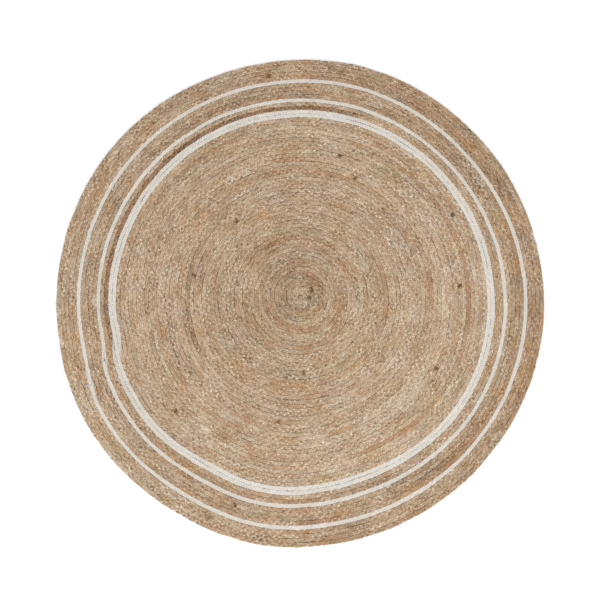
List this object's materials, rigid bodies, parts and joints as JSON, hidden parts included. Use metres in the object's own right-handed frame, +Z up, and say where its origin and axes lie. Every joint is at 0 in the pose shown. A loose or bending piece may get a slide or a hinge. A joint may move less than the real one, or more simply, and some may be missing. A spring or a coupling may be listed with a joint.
{
  "type": "round braided area rug",
  "caption": "Flat round area rug of natural jute plait coiled in one spiral and laced turn to turn, with one wide and two narrow bleached white rings near the edge.",
  "frame": {"origin": "centre of the rug's underside, on the floor", "axes": "+Z up out of the floor, through the thickness; the splices of the coloured plaits lie 197 degrees anticlockwise from +X, seen from above"},
  "size_m": [1.195, 1.2011, 0.008],
  "materials": {
    "natural_jute": "undyed jute strands, matt with a faint silky sheen, straw brown with rust, straw and grey-green streaks",
    "bleached_jute": "bleached jute strands, matt off-white with a few darker fibres",
    "natural_thread": "twisted undyed jute sewing thread, matt",
    "bleached_thread": "twisted bleached sewing thread, matt"
  },
  "bodies": {
    "root": {"centre_braid": "natural_jute", "inner_white_braid": "bleached_jute", "inner_natural_braid": "natural_jute", "middle_white_braid": "bleached_jute", "middle_natural_braid": "natural_jute", "outer_white_braid": "bleached_jute", "border_braid": "natural_jute", "centre_lacing": "natural_thread", "inner_white_lacing": "bleached_thread", "inner_natural_lacing": "natural_thread", "middle_white_lacing": "bleached_thread", "middle_natural_lacing": "natural_thread", "outer_white_lacing": "bleached_thread", "border_lacing": "natural_thread", "inner_white_splice_binding": "bleached_thread", "inner_natural_splice_binding": "bleached_thread", "middle_white_splice_binding": "bleached_thread", "middle_natural_splice_binding": "bleached_thread", "outer_white_splice_binding": "bleached_thread", "border_splice_binding": "bleached_thread", "start_binding": "natural_thread", "tail_binding": "natural_thread"}
  },
  "joints": []
}
